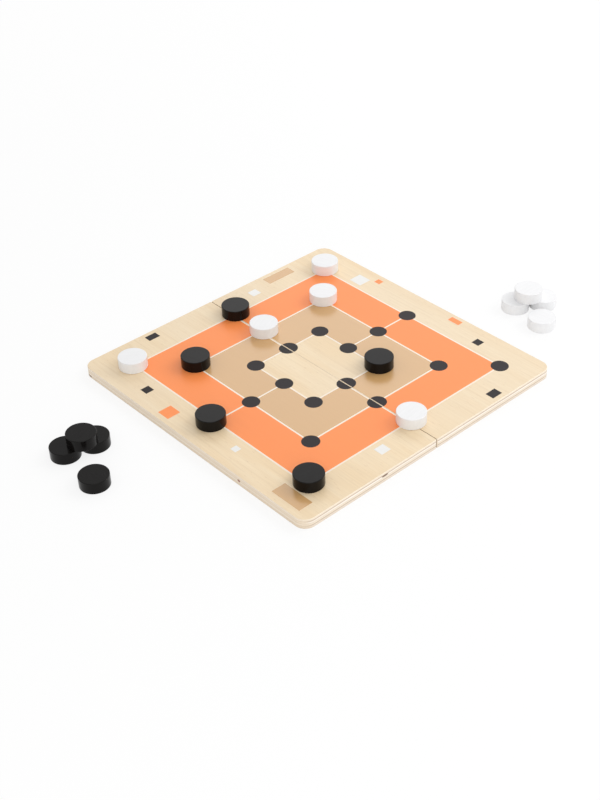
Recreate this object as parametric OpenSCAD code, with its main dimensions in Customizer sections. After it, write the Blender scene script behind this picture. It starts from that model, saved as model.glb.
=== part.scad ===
// Solitaire and mill board of birch plywood, with nine white and nine black wooden discs.
// The board is sawn in two halves that lie edge to edge, with a fine groove at the seam.
// Mill is printed on the top face and the points for solitaire on the underside.
// Origin: middle of the underside, on the seam. +X is the right half, +Y the far edge, +Z up.

/* [Board] */
// Plain wood around the printed mill, from the outer ring to the board's edge
border_w = 32; // [26:0.5:60]
// Thickness of the plywood
board_t = 9; // [6:0.5:15]
// Radius of the four outer corners
outer_corner_r = 10; // [4:0.5:16]
// Radius of the corners where the two halves meet
seam_corner_r = 1.6; // [1.2:0.1:3]
// Radius of the sanded round on every edge
edge_r = 0.5; // [0.3:0.05:1]
// Clear gap between the two halves
seam_gap = 0.1; // [0.1:0.05:0.5]

/* [Printed mill] */
// Distance from one ring of the mill to the next
ring_pitch = 36; // [32:0.5:44]
// Diameter of the points that the discs stand on
point_d = 15.2; // [8:0.2:18]
// How far the outer ring's line runs outside its points, and the inner ring's inside them
ring_play = 0.4; // [0:0.1:1]
// Width of the white lines
line_w = 1.5; // [1:0.1:2.5]
// Thickness of the ink
ink_t = 0.1; // [0.05:0.05:0.2]

/* [Printed solitaire] */
// Distance from one point of the solitaire cross to the next
solitaire_pitch = 36; // [30:0.5:40]
// Diameter of the solitaire points
solitaire_point_d = 12; // [8:0.5:18]

/* [Discs] */
// Diameter of a disc
disc_d = 24.8; // [20:0.1:27]
// Thickness of a disc
disc_t = 10.1; // [6:0.1:14]
// Radius of the rounding at both rims of a disc
disc_rim_r = 0.5; // [0.3:0.1:1.5]

/* [Discs beside the board] */
// Distance from the board's edge to the middle of the black heap
black_heap_out = 62; // [50:0.5:90]
// Distance from the board's edge to the middle of the white heap
white_heap_out = 67.7; // [50:0.5:90]
// Gap between the two lower discs of the black heap
black_heap_gap = 0.2; // [0.2:0.1:3]
// Gap between the two lower discs of the white heap
white_heap_gap = 0.9; // [0.2:0.1:3]
// Distance from the board's edge to the middle of the lone black disc
black_single_out = 78; // [60:0.5:90]
// Distance from the board's edge to the middle of the lone white disc
white_single_out = 51.3; // [40:0.5:60]

/* [Hidden] */

$fn = 96;

LEFT = -1;
RIGHT = 1;

wood_colour = [0.96, 0.89, 0.77];
orange_ink = [1.0, 0.60, 0.40];
tan_ink = [0.88, 0.75, 0.59];
white_ink = [0.96, 0.95, 0.96];
black_ink = [0.27, 0.25, 0.25];
white_lacquer = [0.97, 0.97, 0.97];
black_lacquer = [0.22, 0.22, 0.23];

// From the middle of the board to each of its edges
half_side = 3 * ring_pitch + border_w;
// The print of each half starts where the seam's rounded edge ends
seam_half = seam_gap / 2 + edge_r;
// Reach of a cutter that only has to pass the whole board
reach = 3 * half_side;
// The white line along the seam is printed on this half only
seam_line_side = LEFT;

// Play in the printing, in mm to the right and to the far side. Each half was printed on its own,
// and the points in another pass than the fields and lines.
function points_slip(side) = side == LEFT ? [-0.25, -0.9] : [1.25, -0.9];
function fields_slip(side) = side == LEFT ? [-0.95, -0.75] : [0.95, -0.9];

// Ornament in the border, one row for each patch: [edge, along, across, length, width].
// along: from the middle of that edge, to the right or to the far side.
// across: 0 at the outer ring and 1 at the board's edge.
// along, length and width are in ring pitches, length along the edge and width across it.
black_patches = [
    ["far", -2.01, 0.74, 0.31, 0.20],
    ["right", -2.02, 0.45, 0.21, 0.21],
    ["near", 2.13, 0.72, 0.30, 0.23],
    ["left", 2.00, 0.46, 0.22, 0.22]
];
white_patches = [
    ["far", 1.04, 0.48, 0.25, 0.24],
    ["right", 1.98, 0.41, 0.38, 0.36],
    ["near", -1.09, 0.34, 0.27, 0.25],
    ["left", -1.08, 0.38, 0.17, 0.17]
];
tan_patches = [
    ["far", 2.03, 0.69, 0.84, 0.28],
    ["left", -3.10, 0.58, 0.85, 0.37]
];
orange_patches = [
    ["right", 1.58, 0.73, 0.17, 0.16],
    ["right", -1.02, 0.78, 0.34, 0.16],
    ["left", 0.97, 0.64, 0.35, 0.35]
];

// Where the five white and five black discs of the game stand, one row for each disc:
// [ring, column, row, slip right, slip to the far side]. The slip from the point is in mm.
white_stands = [
    [3, -1, 1, -2.2, 0.6],
    [2, 1, 1, 0.9, -0.7],
    [2, 0, 1, 1.7, -2.2],
    [3, 1, 1, 1.6, 0.6],
    [3, 0, -1, 2.1, -0.6]
];
black_stands = [
    [3, 0, 1, 2.2, 0.9],
    [2, -1, 1, 0.8, 0.7],
    [3, -1, 0, -4.9, 0.9],
    [3, -1, -1, 1.5, 0.2],
    [1, 1, -1, 0.2, -1.1]
];

// Discs beside the board: a heap of two with a third across them, and a lone one.
// Turn: direction from the heap's first disc to its second. Along: place in the board's length.
black_heap_along = 54.9;
black_heap_turn = -12;
black_top_slip = [0.1, -4.2];
black_single_along = 12.6;
white_heap_along = -58.1;
white_heap_turn = -32;
white_top_slip = [-1.5, 0.5];
white_single_along = -86.3;

// Section through a strip of board w wide, with all four edges rounded
module rounded_section(w) {
    translate([edge_r, 0]) square([w - 2 * edge_r, board_t]);
    translate([0, edge_r]) square([w, board_t - 2 * edge_r]);
    for (x = [edge_r, w - edge_r], z = [edge_r, board_t - edge_r]) translate([x, z]) circle(r = edge_r);
}

// Strip of board from [x0, y0], wide across the seam and long along it, rounded on both sides
module strip_along_seam(x0, y0, wide, long) {
    translate([x0, y0 + long, 0]) rotate([90, 0, 0]) linear_extrude(long) rounded_section(wide);
}

// Strip of board from [x0, y0], rounded at both ends of the seam
module strip_across_seam(x0, y0, wide, long) {
    translate([x0, y0, 0]) rotate([90, 0, 90]) linear_extrude(wide) rounded_section(long);
}

// Half of the section through a round slab: radius r, height h and rim rounded by rim_r
module slab_profile(r, h, rim_r) {
    square([r - rim_r, h]);
    translate([0, rim_r]) square([r, h - 2 * rim_r]);
    for (z = [rim_r, h - rim_r]) translate([r - rim_r, z]) circle(r = rim_r, $fn = 32);
}

// Corner of radius r with the same rounded edges
module round_corner(x, y, r) {
    translate([x, y, 0]) rotate_extrude() slab_profile(r, board_t, edge_r);
}

// The right half of the board as sawn and sanded, before the underside is printed
module plain_half() {
    x0 = seam_gap / 2;
    width = half_side - x0;
    length = 2 * half_side;
    // Full width between the outer corners
    strip_along_seam(x0, outer_corner_r - half_side, width, length - 2 * outer_corner_r);
    // Seam side, out to its own small corners
    strip_along_seam(x0, seam_corner_r - half_side, width - outer_corner_r, length - 2 * seam_corner_r);
    // Full length between the small and the large corners
    strip_across_seam(x0 + seam_corner_r, -half_side, width - seam_corner_r - outer_corner_r, length);
    for (s = [-1, 1]) {
        round_corner(x0 + seam_corner_r, s * (half_side - seam_corner_r), seam_corner_r);
        round_corner(half_side - outer_corner_r, s * (half_side - outer_corner_r), outer_corner_r);
    }
}

// The part of a flat drawing that lies on one half, moved by its slip and clear of the seam's round
module print_half(side, slip) {
    intersection() {
        translate(slip) children();
        translate([side == LEFT ? -seam_half - reach : seam_half, -reach / 2]) square([reach, reach]);
    }
}

// Eight places of a ring of the mill, or of the points on it
function ring_places(ring) = [
    for (col = [-1:1], row = [-1:1]) if (col != 0 || row != 0) ring * ring_pitch * [col, row]
];

// The points of the mill on one half
module half_points(side) {
    print_half(side, points_slip(side))
        for (ring = [1:3], place = ring_places(ring)) translate(place) circle(d = point_d);
}

// Square through the points of a ring, but for the play in the printing
module ring_square(ring, grow) {
    square(2 * (ring * ring_pitch + (ring - 2) * ring_play + grow), center = true);
}

// The white lines: three squares, the cross lines between them, and on one half the seam's line
module mill_lines(side) {
    for (ring = [1:3])
        difference() {
            ring_square(ring, line_w / 2);
            ring_square(ring, -line_w / 2);
        }
    for (s = [-1, 1]) translate([s * 2 * ring_pitch, 0]) square([2 * ring_pitch, line_w], center = true);
    if (side == seam_line_side)
        for (s = [-1, 1]) translate([0, s * 2 * ring_pitch]) square([line_w, 2 * ring_pitch], center = true);
}

// The lines on one half, kept clear of the points
module half_lines(side) {
    difference() {
        print_half(side, fields_slip(side)) mill_lines(side);
        half_points(side);
    }
}

// The colour field between two rings on one half, kept clear of the lines and the points
module half_band(side, inner_ring) {
    difference() {
        print_half(side, fields_slip(side)) difference() {
            ring_square(inner_ring + 1, 0);
            ring_square(inner_ring, 0);
            mill_lines(side);
        }
        half_points(side);
    }
}

// The patches of one colour that lie on this half, already in the half's own place
module border_patches(side, patches) {
    for (p = patches) {
        edge = p[0];
        along = p[1] * ring_pitch;
        out = 3 * ring_pitch + p[2] * border_w;
        size = ring_pitch * [p[3], p[4]];
        if (edge == (side == LEFT ? "left" : "right"))
            translate([side * out, along]) square([size[1], size[0]], center = true);
        if ((edge == "near" || edge == "far") && sign(along) == side)
            translate([along, edge == "near" ? -out : out]) square(size, center = true);
    }
}

// A film of ink on the top face
module ink_on_top() {
    translate([0, 0, board_t]) linear_extrude(ink_t) children();
}

module orange_print(side) {
    color(orange_ink) ink_on_top() {
        half_band(side, 2);
        border_patches(side, orange_patches);
    }
}

module tan_print(side) {
    color(tan_ink) ink_on_top() {
        half_band(side, 1);
        border_patches(side, tan_patches);
    }
}

module white_print(side) {
    color(white_ink) ink_on_top() {
        half_lines(side);
        border_patches(side, white_patches);
    }
}

module black_print(side) {
    color(black_ink) ink_on_top() {
        half_points(side);
        border_patches(side, black_patches);
    }
}

// Thirty-three points in a cross, three rows wide each way, as far as they lie on one half
module half_cross(side) {
    print_half(side, [0, 0])
        for (col = [-3:3], row = [-3:3])
            if (min(abs(col), abs(row)) <= 1)
                translate(solitaire_pitch * [col, row]) circle(d = solitaire_point_d);
}

// The points are let into the underside by the ink's thickness, so that the board lies flat
module solitaire_points(side) {
    color(black_ink) linear_extrude(ink_t) half_cross(side);
}

module board_half(side) {
    color(wood_colour) difference() {
        if (side == RIGHT) plain_half(); else mirror([1, 0, 0]) plain_half();
        translate([0, 0, -ink_t]) linear_extrude(2 * ink_t) half_cross(side);
    }
}

// A turned disc with a small round at both rims
module disc() {
    rotate_extrude() slab_profile(disc_d / 2, disc_t, disc_rim_r);
}

// Middle of a disc that stands on a point of the mill. A point on the seam lies between its halves.
function on_board(stand) =
    let (
        point_slip = stand[1] == 0 ? (points_slip(LEFT) + points_slip(RIGHT)) / 2 : points_slip(stand[1]),
        point = stand[0] * ring_pitch * [stand[1], stand[2]] + point_slip
    )
    [point[0] + stand[3], point[1] + stand[4], board_t + ink_t];

// Middles of the heap's three discs and of the lone disc, on the table
function beside_board(heap, turn, gap, top_slip, lone) =
    let (half_step = (disc_d + gap) / 2 * [cos(turn), sin(turn)])
    [
        [heap[0] - half_step[0], heap[1] - half_step[1], 0],
        [heap[0] + half_step[0], heap[1] + half_step[1], 0],
        [heap[0] + top_slip[0], heap[1] + top_slip[1], disc_t],
        [lone[0], lone[1], 0]
    ];

white_places = concat(
    [for (stand = white_stands) on_board(stand)],
    beside_board([half_side + white_heap_out, white_heap_along], white_heap_turn, white_heap_gap,
        white_top_slip, [half_side + white_single_out, white_single_along])
);
black_places = concat(
    [for (stand = black_stands) on_board(stand)],
    beside_board([-half_side - black_heap_out, black_heap_along], black_heap_turn, black_heap_gap,
        black_top_slip, [-half_side - black_single_out, black_single_along])
);

module white_disc(i) {
    color(white_lacquer) translate(white_places[i - 1]) disc();
}

module black_disc(i) {
    color(black_lacquer) translate(black_places[i - 1]) disc();
}

board_half(LEFT);  // left_board
board_half(RIGHT);  // right_board
orange_print(LEFT);  // left_orange_print
orange_print(RIGHT);  // right_orange_print
tan_print(LEFT);  // left_tan_print
tan_print(RIGHT);  // right_tan_print
white_print(LEFT);  // left_white_print
white_print(RIGHT);  // right_white_print
black_print(LEFT);  // left_black_print
black_print(RIGHT);  // right_black_print
solitaire_points(LEFT);  // left_solitaire_points
solitaire_points(RIGHT);  // right_solitaire_points
white_disc(1);  // white_disc_1
white_disc(2);  // white_disc_2
white_disc(3);  // white_disc_3
white_disc(4);  // white_disc_4
white_disc(5);  // white_disc_5
white_disc(6);  // white_disc_6
white_disc(7);  // white_disc_7
white_disc(8);  // white_disc_8
white_disc(9);  // white_disc_9
black_disc(1);  // black_disc_1
black_disc(2);  // black_disc_2
black_disc(3);  // black_disc_3
black_disc(4);  // black_disc_4
black_disc(5);  // black_disc_5
black_disc(6);  // black_disc_6
black_disc(7);  // black_disc_7
black_disc(8);  // black_disc_8
black_disc(9);  // black_disc_9
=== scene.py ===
import math
import random

import bpy
from mathutils import Matrix, Vector


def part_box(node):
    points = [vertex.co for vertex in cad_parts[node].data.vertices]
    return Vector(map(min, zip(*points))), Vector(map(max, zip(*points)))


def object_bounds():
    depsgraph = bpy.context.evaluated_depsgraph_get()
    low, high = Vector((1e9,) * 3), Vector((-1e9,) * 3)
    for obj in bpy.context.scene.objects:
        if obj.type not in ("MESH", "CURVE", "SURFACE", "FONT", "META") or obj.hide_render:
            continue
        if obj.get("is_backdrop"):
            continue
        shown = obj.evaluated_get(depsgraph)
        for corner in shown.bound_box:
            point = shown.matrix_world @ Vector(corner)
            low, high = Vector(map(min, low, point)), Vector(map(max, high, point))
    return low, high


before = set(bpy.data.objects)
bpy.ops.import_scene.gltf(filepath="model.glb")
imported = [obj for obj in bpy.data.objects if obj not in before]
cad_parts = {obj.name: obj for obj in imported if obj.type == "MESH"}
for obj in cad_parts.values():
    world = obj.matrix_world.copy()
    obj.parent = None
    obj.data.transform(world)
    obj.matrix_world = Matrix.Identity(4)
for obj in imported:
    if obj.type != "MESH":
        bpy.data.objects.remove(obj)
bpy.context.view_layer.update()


# The board
# Two halves of birch plywood, five veneers thick, sawn from one sheet. The edges are rounded by hand
# sanding and the whole has a clear matt varnish. The halves lie edge to edge with a fine groove.
MM = 0.001
VENEERS = 5
VENEER_T = 2.1
SANDED_OFF = 1.4


def linear(hex_colour):
    """Linear RGBA of an sRGB hex colour."""
    channels = [int(hex_colour[i:i + 2], 16) / 255 for i in (1, 3, 5)]
    return [c / 12.92 if c <= 0.04045 else ((c + 0.055) / 1.055) ** 2.4 for c in channels] + [1.0]


def add(tree, kind, inputs=None, **settings):
    """Adds a node to the tree. Inputs map a socket to a value, or to the output that is linked to it."""
    node = tree.nodes.new(kind)
    for name, value in settings.items():
        setattr(node, name, value)
    for socket, value in (inputs or {}).items():
        if isinstance(value, bpy.types.NodeSocket):
            tree.links.new(value, node.inputs[socket])
        else:
            node.inputs[socket].default_value = value
    return node


def new_material(name):
    """A material with an empty tree and its output node."""
    material = bpy.data.materials.new(name)
    material.use_nodes = True
    material.node_tree.nodes.clear()
    return material, material.node_tree, add(material.node_tree, "ShaderNodeOutputMaterial")


def dress(node_name, material):
    """Gives a piece of the frame its finish."""
    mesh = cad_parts[node_name].data
    mesh.materials.clear()
    mesh.materials.append(material)


def millimetres(tree):
    """Where a point lies on its piece, in millimetres."""
    place = add(tree, "ShaderNodeTexCoord")
    scaled = add(tree, "ShaderNodeVectorMath", {
        0: place.outputs["Object"], "Scale": 1 / MM}, operation="SCALE")
    return scaled.outputs[0]


def streaks(tree, position, size_mm, detail, distortion=0.0):
    """Uneven streaks of the size of one fibre, pore or figure of the wood."""
    squeeze = [1 / s for s in size_mm]
    scaled = add(tree, "ShaderNodeVectorMath", {0: position, 1: squeeze}, operation="MULTIPLY")
    noise = add(tree, "ShaderNodeTexNoise", {
        "Vector": scaled.outputs[0], "Scale": 1.0, "Detail": detail, "Distortion": distortion})
    return noise.outputs["Fac"]


def tint(tree, under, colour, pattern, low, high, strength=1.0):
    """Lays a colour over what is under it, as far as a pattern has gone softly from low to high."""
    amount = add(tree, "ShaderNodeMapRange", {
        "Value": pattern, "From Min": low, "From Max": high, "To Max": strength},
        interpolation_type="SMOOTHSTEP")
    over = linear(colour) if isinstance(colour, str) else colour
    mix = add(tree, "ShaderNodeMix", {0: amount.outputs["Result"], 6: under, 7: over}, data_type="RGBA")
    return mix.outputs[2]


# Birch veneer, sliced and sanded: pale cream, with a soft figure tens of millimetres wide, fine
# fibres along the length and scattered short pores. Fibres and pores are drawn about ten times as
# coarse as real birch has them, so that they show from a step away.
FIGURE_MM = (16.0, 150.0, 16.0)
CLOUD_MM = (80.0, 110.0, 40.0)
FIBRE_MM = (0.9, 36.0, 0.9)
VEIN_MM = (2.6, 80.0, 2.6)
PORE_MM = (0.7, 6.0, 0.7)
FIBRE_SPREAD = (0.30, 0.70)
PORE_SPREAD = (0.66, 0.76)

plywood, tree, output = new_material("birch plywood")
in_mm = millimetres(tree)
figure = streaks(tree, in_mm, FIGURE_MM, detail=3.0, distortion=0.4)
cloud = streaks(tree, in_mm, CLOUD_MM, detail=1.0)
fibre = streaks(tree, in_mm, FIBRE_MM, detail=2.0)
vein = streaks(tree, in_mm, VEIN_MM, detail=2.0, distortion=0.3)
pores = streaks(tree, in_mm, PORE_MM, detail=1.0)
face_wood = tint(tree, linear("#F0DBB9"), "#ECD3AD", figure, low=0.38, high=0.64)
face_wood = tint(tree, face_wood, "#EBD9BD", cloud, low=0.35, high=0.65, strength=0.5)
face_wood = tint(tree, face_wood, "#DDC5A1", fibre, *FIBRE_SPREAD, strength=0.28)
face_wood = tint(tree, face_wood, "#D3BA97", vein, low=0.52, high=0.70, strength=0.18)
face_wood = tint(tree, face_wood, "#BE9C78", pores, *PORE_SPREAD, strength=0.30)

# Which veneer a point lies in, counted from the underside, with a little wander. Most of the sanding
# to thickness was done on the underside, so the lowest veneer is thin.
WANDER_MM = (18.0, 18.0, 18.0)
WANDER = 0.10
OUTER_SHARE = 0.3
axes = add(tree, "ShaderNodeSeparateXYZ", {0: in_mm})
uneven = streaks(tree, in_mm, WANDER_MM, detail=1.0)
wander = add(tree, "ShaderNodeMapRange", {"Value": uneven, "To Min": -WANDER, "To Max": WANDER})
unsanded = add(tree, "ShaderNodeMath", {0: axes.outputs["Z"], 1: SANDED_OFF}, operation="ADD")
level = add(tree, "ShaderNodeMath", {0: unsanded.outputs[0], 1: 1 / VENEER_T}, operation="MULTIPLY")
level = add(tree, "ShaderNodeMath", {0: level.outputs[0], 1: wander.outputs[0]}, operation="ADD")
level = add(tree, "ShaderNodeClamp", {
    "Value": level.outputs[0], "Min": OUTER_SHARE, "Max": VENEERS - OUTER_SHARE}).outputs[0]
parity = add(tree, "ShaderNodeMath", {0: level, 1: 2.0}, operation="MODULO")
is_core = add(tree, "ShaderNodeMath", {
    0: parity.outputs[0], 1: 1.0}, operation="GREATER_THAN").outputs[0]

# Sanded edges: the outer veneers run along the seam and the inner ones across it, so an edge shows
# pale side grain and darker end grain by turns
outward = add(tree, "ShaderNodeTexCoord").outputs["Normal"]
outward = add(tree, "ShaderNodeVectorMath", {0: outward}, operation="ABSOLUTE")
facing = add(tree, "ShaderNodeSeparateXYZ", {0: outward.outputs[0]})
across = add(tree, "ShaderNodeCombineXYZ", {
    "X": axes.outputs["Y"], "Y": axes.outputs["X"], "Z": axes.outputs["Z"]})
core_fibre = streaks(tree, across.outputs[0], FIBRE_MM, detail=2.0)
cut_fibre = add(tree, "ShaderNodeMix", {0: is_core, 2: fibre, 3: core_fibre}).outputs[0]
end_grain = add(tree, "ShaderNodeMix", {
    0: is_core, 2: facing.outputs["Y"], 3: facing.outputs["X"]}).outputs[0]
edge_wood = tint(tree, linear("#FFF6EA"), "#F2E4D0", end_grain, low=0.0, high=1.0)
edge_wood = tint(tree, edge_wood, "#E4D0B5", cut_fibre, *FIBRE_SPREAD, strength=0.35)

# Glue lines: a cut shows every other one as a fine brown line, and only a trace of those between
GLUE = "#B5987F"
between_veneers = add(tree, "ShaderNodeMath", {0: level, 1: 1.0}, operation="PINGPONG").outputs[0]
even_glue = add(tree, "ShaderNodeMix", {0: facing.outputs["Y"], 2: 0.18, 3: 0.90}).outputs[0]
odd_glue = add(tree, "ShaderNodeMix", {0: facing.outputs["X"], 2: 0.09, 3: 0.45}).outputs[0]
edge_wood = tint(tree, edge_wood, GLUE, between_veneers, low=0.22, high=0.08, strength=even_glue)
edge_wood = tint(tree, edge_wood, GLUE, between_veneers, low=0.78, high=0.92, strength=odd_glue)

# The two lowest veneers are greyer, and the edges along the seam's direction are yellower
edge_wood = tint(tree, edge_wood, "#DCCBB6", level, low=2.15, high=1.85, strength=0.55)
edge_wood = tint(tree, edge_wood, "#EAD6BA", facing.outputs["X"], low=0.0, high=1.0, strength=0.55)

# The edge's finish starts where the rounding does, and the rounded rims of the sawn ends get a painted
# highlight
wood = tint(tree, face_wood, edge_wood, facing.outputs["Z"], low=0.97, high=0.60)
painted_rim_light = add(tree, "ShaderNodeMath", {
    0: facing.outputs["Z"], 1: facing.outputs["Y"]}, operation="MULTIPLY")
wood = tint(tree, wood, "#FBEED8", painted_rim_light.outputs[0], low=0.10, high=0.40)

# Outside the mill, the groove between the halves gets a painted shade
MILL_END = 108.0
from_seam = add(tree, "ShaderNodeMath", {0: axes.outputs["X"]}, operation="ABSOLUTE").outputs[0]
from_middle = add(tree, "ShaderNodeMath", {0: axes.outputs["Y"]}, operation="ABSOLUTE").outputs[0]
painted_groove_shade = add(tree, "ShaderNodeMapRange", {
    "Value": from_middle, "From Min": MILL_END - 2.0, "From Max": MILL_END + 2.0, "To Max": 0.9},
    interpolation_type="SMOOTHSTEP")
wood = tint(tree, wood, "#7D5A36", from_seam, low=0.45, high=0.15, strength=painted_groove_shade.outputs[0])

# Flaws in the edges: a pin knot on the left, a split in a core veneer on the near side, and a
# bruise under the left corner. Each has a colour, a middle and a size.
FLAWS = (
    ("#8C4029", (-140.0, -65.9, 4.7), (3.0, 3.4, 2.2)),
    ("#6B4423", (-57.4, -140.0, 6.2), (7.0, 3.0, 1.9)),
    ("#8A6B50", (-140.0, 131.0, 1.8), (3.0, 7.0, 1.6)),
)
for flaw_colour, middle_mm, size_mm in FLAWS:
    offset = add(tree, "ShaderNodeVectorMath", {0: in_mm, 1: middle_mm}, operation="SUBTRACT")
    scaled = add(tree, "ShaderNodeVectorMath", {0: offset.outputs[0], 1: size_mm}, operation="DIVIDE")
    distance = add(tree, "ShaderNodeVectorMath", {0: scaled.outputs[0]}, operation="LENGTH")
    wood = tint(tree, wood, flaw_colour, distance.outputs["Value"], low=0.60, high=0.35, strength=0.9)

# The varnish is too thin to fill the grain: fibres stand up a little and pores are pits
RELIEF_DEPTH = 0.02 * MM
ridges = add(tree, "ShaderNodeMapRange", {
    "Value": fibre, "From Min": FIBRE_SPREAD[0], "From Max": FIBRE_SPREAD[1]},
    interpolation_type="SMOOTHSTEP")
pits = add(tree, "ShaderNodeMapRange", {
    "Value": pores, "From Min": PORE_SPREAD[0], "From Max": PORE_SPREAD[1]},
    interpolation_type="SMOOTHSTEP")
grain_height = add(tree, "ShaderNodeMath", {
    0: ridges.outputs[0], 1: pits.outputs[0]}, operation="SUBTRACT")
relief = add(tree, "ShaderNodeBump", {
    "Height": grain_height.outputs[0], "Strength": 0.12, "Distance": RELIEF_DEPTH})
varnish = add(tree, "ShaderNodeBsdfPrincipled", {
    "Base Color": wood, "Roughness": 0.38, "Specular IOR Level": 0.5, "Normal": relief.outputs[0]})
tree.links.new(varnish.outputs[0], output.inputs["Surface"])
for half in ("left_board", "right_board"):
    dress(half, plywood)


# The print
# Screen-printed inks on the varnished top face, one film for each colour: the orange and tan fields
# of the mill, its white lines, and its black points, with small patches of all four in the border.
# The film is satin and lets a trace of the grain show.

# Ink, its colour in the border, its colour in the mill, roughness and specular level. The tan is the
# glossiest and the black nearly matt. The wood warms the white where it is thin, in the mill's lines.
INKS = (
    ("orange", "#FE9351", "#FE9351", 0.40, 0.40),
    ("tan", "#CFA36C", "#CFA36C", 0.26, 0.90),
    ("white", "#EEEDEA", "#F8EBD9", 0.40, 0.40),
    ("black", "#231D1F", "#231D1F", 0.46, 0.22),
)
INK_FIBRE_SHADE = 0.985
INK_CLOUD_SHADE = 0.97
INK_CLOUD_SPREAD = (0.30, 0.70)


def ink(name, border_colour, mill_colour, roughness, specular):
    """A satin film of ink over the grain of the veneer."""
    material, tree, output = new_material(name)
    in_mm = millimetres(tree)
    spread = add(tree, "ShaderNodeVectorMath", {0: in_mm}, operation="ABSOLUTE")
    spread = add(tree, "ShaderNodeSeparateXYZ", {0: spread.outputs[0]})
    reach = add(tree, "ShaderNodeMath", {
        0: spread.outputs["X"], 1: spread.outputs["Y"]}, operation="MAXIMUM")
    colour = tint(tree, linear(border_colour), mill_colour, reach.outputs[0],
                  low=MILL_END + 4.0, high=MILL_END + 2.0)
    fibre = streaks(tree, in_mm, FIBRE_MM, detail=2.0)
    cloud = streaks(tree, in_mm, CLOUD_MM, detail=1.0)
    ridges = add(tree, "ShaderNodeMapRange", {
        "Value": fibre, "From Min": FIBRE_SPREAD[0], "From Max": FIBRE_SPREAD[1]},
        interpolation_type="SMOOTHSTEP")
    shade = add(tree, "ShaderNodeMapRange", {"Value": ridges.outputs[0], "To Min": INK_FIBRE_SHADE})
    sweep = add(tree, "ShaderNodeMapRange", {
        "Value": cloud, "From Min": INK_CLOUD_SPREAD[0], "From Max": INK_CLOUD_SPREAD[1],
        "To Min": INK_CLOUD_SHADE}, interpolation_type="SMOOTHSTEP")
    both = add(tree, "ShaderNodeMath", {
        0: shade.outputs[0], 1: sweep.outputs[0]}, operation="MULTIPLY")
    tone = add(tree, "ShaderNodeVectorMath", {
        0: colour, "Scale": both.outputs[0]}, operation="SCALE")
    relief = add(tree, "ShaderNodeBump", {
        "Height": ridges.outputs[0], "Strength": 0.08, "Distance": RELIEF_DEPTH})
    film = add(tree, "ShaderNodeBsdfPrincipled", {
        "Base Color": tone.outputs[0], "Roughness": roughness, "Specular IOR Level": specular,
        "Normal": relief.outputs[0]})
    tree.links.new(film.outputs[0], output.inputs["Surface"])
    return material


for colour_name, border_colour, mill_colour, roughness, specular in INKS:
    screen_ink = ink(f"{colour_name} screen ink", border_colour, mill_colour, roughness, specular)
    for side in ("left", "right"):
        dress(f"{side}_{colour_name}_print", screen_ink)
        if colour_name == "black":
            dress(f"{side}_solitaire_points", screen_ink)


# The discs
# Turned beech discs, nine white and nine black, with rounded rims, loose on the board and the table.
# Each is dipped in satin lacquer, under which the grain still shows faintly. It is drawn coarser than
# real beech has it, so that it shows.

# Lacquer, colour, roughness and specular level
LACQUERS = (
    ("white", "#F0F0F1", 0.40, 0.30),
    ("black", "#110F0E", 0.18, 0.13),
)
DISC_NUMBERS = range(1, 10)
BEECH_GRAIN_MM = (0.9, 14.0, 3.0)
LACQUER_SKIN_MM = (2.2, 2.2, 2.2)
GRAIN_SPREAD = (0.3, 0.7)
GRAIN_SHADE = 0.96
GLOSS_PLAY = 0.04


def lacquer(name, colour, roughness, specular, centre, turn):
    """Satin lacquer over beech, its grain centred on one disc and turned with it."""
    material, tree, output = new_material(name)
    place = add(tree, "ShaderNodeTexCoord")
    centred = add(tree, "ShaderNodeMapping", {
        "Vector": place.outputs["Object"], "Location": centre, "Rotation": (0, 0, turn),
        "Scale": (MM, MM, MM)}, vector_type="TEXTURE")
    grain = streaks(tree, centred.outputs[0], BEECH_GRAIN_MM, detail=2.0, distortion=0.3)
    skin = streaks(tree, centred.outputs[0], LACQUER_SKIN_MM, detail=2.0)
    tone = add(tree, "ShaderNodeMapRange", {
        "Value": grain, "From Min": GRAIN_SPREAD[0], "From Max": GRAIN_SPREAD[1], "To Min": GRAIN_SHADE})
    base = add(tree, "ShaderNodeVectorMath", {
        0: linear(colour)[:3], "Scale": tone.outputs[0]}, operation="SCALE")
    gloss = add(tree, "ShaderNodeMapRange", {
        "Value": grain, "From Min": GRAIN_SPREAD[0], "From Max": GRAIN_SPREAD[1],
        "To Min": roughness - GLOSS_PLAY, "To Max": roughness + GLOSS_PLAY})
    height = add(tree, "ShaderNodeMath", {0: grain, 1: skin}, operation="ADD")
    relief = add(tree, "ShaderNodeBump", {
        "Height": height.outputs[0], "Strength": 0.10, "Distance": RELIEF_DEPTH})
    coat = add(tree, "ShaderNodeBsdfPrincipled", {
        "Base Color": base.outputs[0], "Roughness": gloss.outputs[0], "Specular IOR Level": specular,
        "Normal": relief.outputs[0]})
    tree.links.new(coat.outputs[0], output.inputs["Surface"])
    return material


random.seed(7)
for colour_name, hex_colour, roughness, specular in LACQUERS:
    for number in DISC_NUMBERS:
        piece = f"{colour_name}_disc_{number}"
        low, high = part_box(piece)
        middle = (low + high) / 2
        finish = lacquer(f"{colour_name} lacquered beech {number}", hex_colour, roughness, specular,
                         centre=middle, turn=random.uniform(0, math.pi))
        dress(piece, finish)


# The table
# A table top covered with white paper, which runs on without a seam. What the camera sees of it glows
# nearly white, as a lit backdrop does, and more so far away. The glow puts no light on the object.
REACH = 6.0
GLOW_NEAR = 0.80
GLOW_FAR = 1.0
GLOW_GROWS = (0.4, 1.6)


def seen_directly(tree):
    """1 for what the camera sees, itself or mirrored, and 0 for the light that falls on the object."""
    path = add(tree, "ShaderNodeLightPath")
    either = add(tree, "ShaderNodeMath", {
        0: path.outputs["Is Camera Ray"], 1: path.outputs["Is Glossy Ray"]}, operation="MAXIMUM")
    return either.outputs[0]


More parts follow.
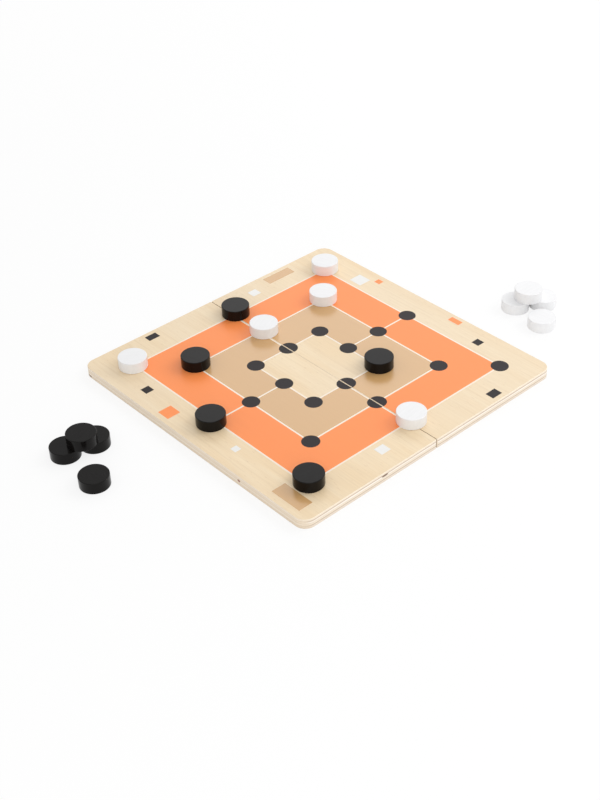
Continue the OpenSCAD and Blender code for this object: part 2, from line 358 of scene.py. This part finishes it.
floor_mesh = bpy.data.meshes.new("table_top")
corners = [(-REACH, -REACH, 0), (REACH, -REACH, 0), (REACH, REACH, 0), (-REACH, REACH, 0)]
floor_mesh.from_pydata(corners, [], [(0, 1, 2, 3)])
floor = bpy.data.objects.new("table_top", floor_mesh)
bpy.context.scene.collection.objects.link(floor)

paper, tree, output = new_material("white paper sweep")
matt = add(tree, "ShaderNodeBsdfDiffuse", {"Color": linear("#FAFAFA")})
glow = add(tree, "ShaderNodeEmission", {"Color": (1, 1, 1, 1), "Strength": 1.0})
place = add(tree, "ShaderNodeTexCoord")
away = add(tree, "ShaderNodeVectorMath", {0: place.outputs["Object"]}, operation="LENGTH")
evenness = add(tree, "ShaderNodeMapRange", {
    "Value": away.outputs["Value"], "From Min": GLOW_GROWS[0], "From Max": GLOW_GROWS[1],
    "To Min": GLOW_NEAR, "To Max": GLOW_FAR})
glow_share = add(tree, "ShaderNodeMath", {
    0: seen_directly(tree), 1: evenness.outputs[0]}, operation="MULTIPLY")
sweep = add(tree, "ShaderNodeMixShader", {
    0: glow_share.outputs[0], 1: matt.outputs[0], 2: glow.outputs[0]})
tree.links.new(sweep.outputs[0], output.inputs["Surface"])
floor_mesh.materials.append(paper)
floor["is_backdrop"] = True


# The light
# A white studio. As the camera sees the board, one softbox stands to the right of it and one behind
# the camera, so that shadows fall softly to the left. A wide one beyond the board is what its varnish
# and inks mirror.
SKY_LIGHT = 0.68
SKY_SEEN = 1.0
LIT_SPOT = Vector((0.0, 0.0, 0.01))

world = bpy.data.worlds.new("studio")
bpy.context.scene.world = world
world.use_nodes = True
sky = world.node_tree.nodes["Background"]
sky.inputs["Color"].default_value = (1, 1, 1, 1)
strength = add(world.node_tree, "ShaderNodeMix", {
    0: seen_directly(world.node_tree), 2: SKY_LIGHT, 3: SKY_SEEN})
world.node_tree.links.new(strength.outputs[0], sky.inputs["Strength"])


def softbox(name, width, height, place, watts):
    """A rectangular area lamp at place, turned to face the board."""
    lamp = bpy.data.lights.new(name, "AREA")
    lamp.shape = "RECTANGLE"
    lamp.size = width
    lamp.size_y = height
    lamp.energy = watts
    holder = bpy.data.objects.new(name, lamp)
    bpy.context.scene.collection.objects.link(holder)
    holder.location = place
    holder.rotation_euler = (LIT_SPOT - Vector(place)).to_track_quat("-Z", "Y").to_euler()


softbox("right_softbox", width=0.9, height=0.9, place=(1.15, -0.55, 1.05), watts=7.3)
softbox("front_softbox", width=1.2, height=1.2, place=(-0.78, -1.13, 0.90), watts=6.6)
softbox("back_softbox", width=1.4, height=0.7, place=(1.06, 0.66, 0.90), watts=3.5)


# The camera
# It looks down on the near corner of the board. Azimuth, elevation and roll are in degrees, distance
# and aim in metres, all fitted to the printed grid.
AZIMUTH = -41.790
ELEVATION = 36.863
ROLL = -1.611
DISTANCE = 1.08644
CAMERA_AIM = Vector((-0.03042, -0.03830, 0.009))
FOCAL_PX = 1336.1
PRINCIPAL_PX = (320.0, 400.0)
FRAME_PX = (600, 800)
SENSOR_MM = 36.0

az = math.radians(AZIMUTH)
el = math.radians(ELEVATION)
roll = math.radians(ROLL)
back = Vector((math.sin(az) * math.cos(el), -math.cos(az) * math.cos(el), math.sin(el)))
level_right = Vector((math.cos(az), math.sin(az), 0))
level_up = back.cross(level_right)
right = level_right * math.cos(roll) + level_up * math.sin(roll)
up = level_up * math.cos(roll) - level_right * math.sin(roll)
lens = bpy.data.cameras.new("camera")
lens.sensor_width = SENSOR_MM
lens.lens = FOCAL_PX / max(FRAME_PX) * SENSOR_MM
lens.shift_x = (FRAME_PX[0] / 2 - PRINCIPAL_PX[0]) / max(FRAME_PX)
lens.shift_y = (PRINCIPAL_PX[1] - FRAME_PX[1] / 2) / max(FRAME_PX)
camera = bpy.data.objects.new("camera", lens)
bpy.context.scene.collection.objects.link(camera)
turn = Matrix((right, up, back)).transposed().to_4x4()
camera.matrix_world = Matrix.Translation(CAMERA_AIM + back * DISTANCE) @ turn
bpy.context.scene.camera = camera
bpy.context.scene.view_settings.view_transform = "Standard"

low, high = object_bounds()
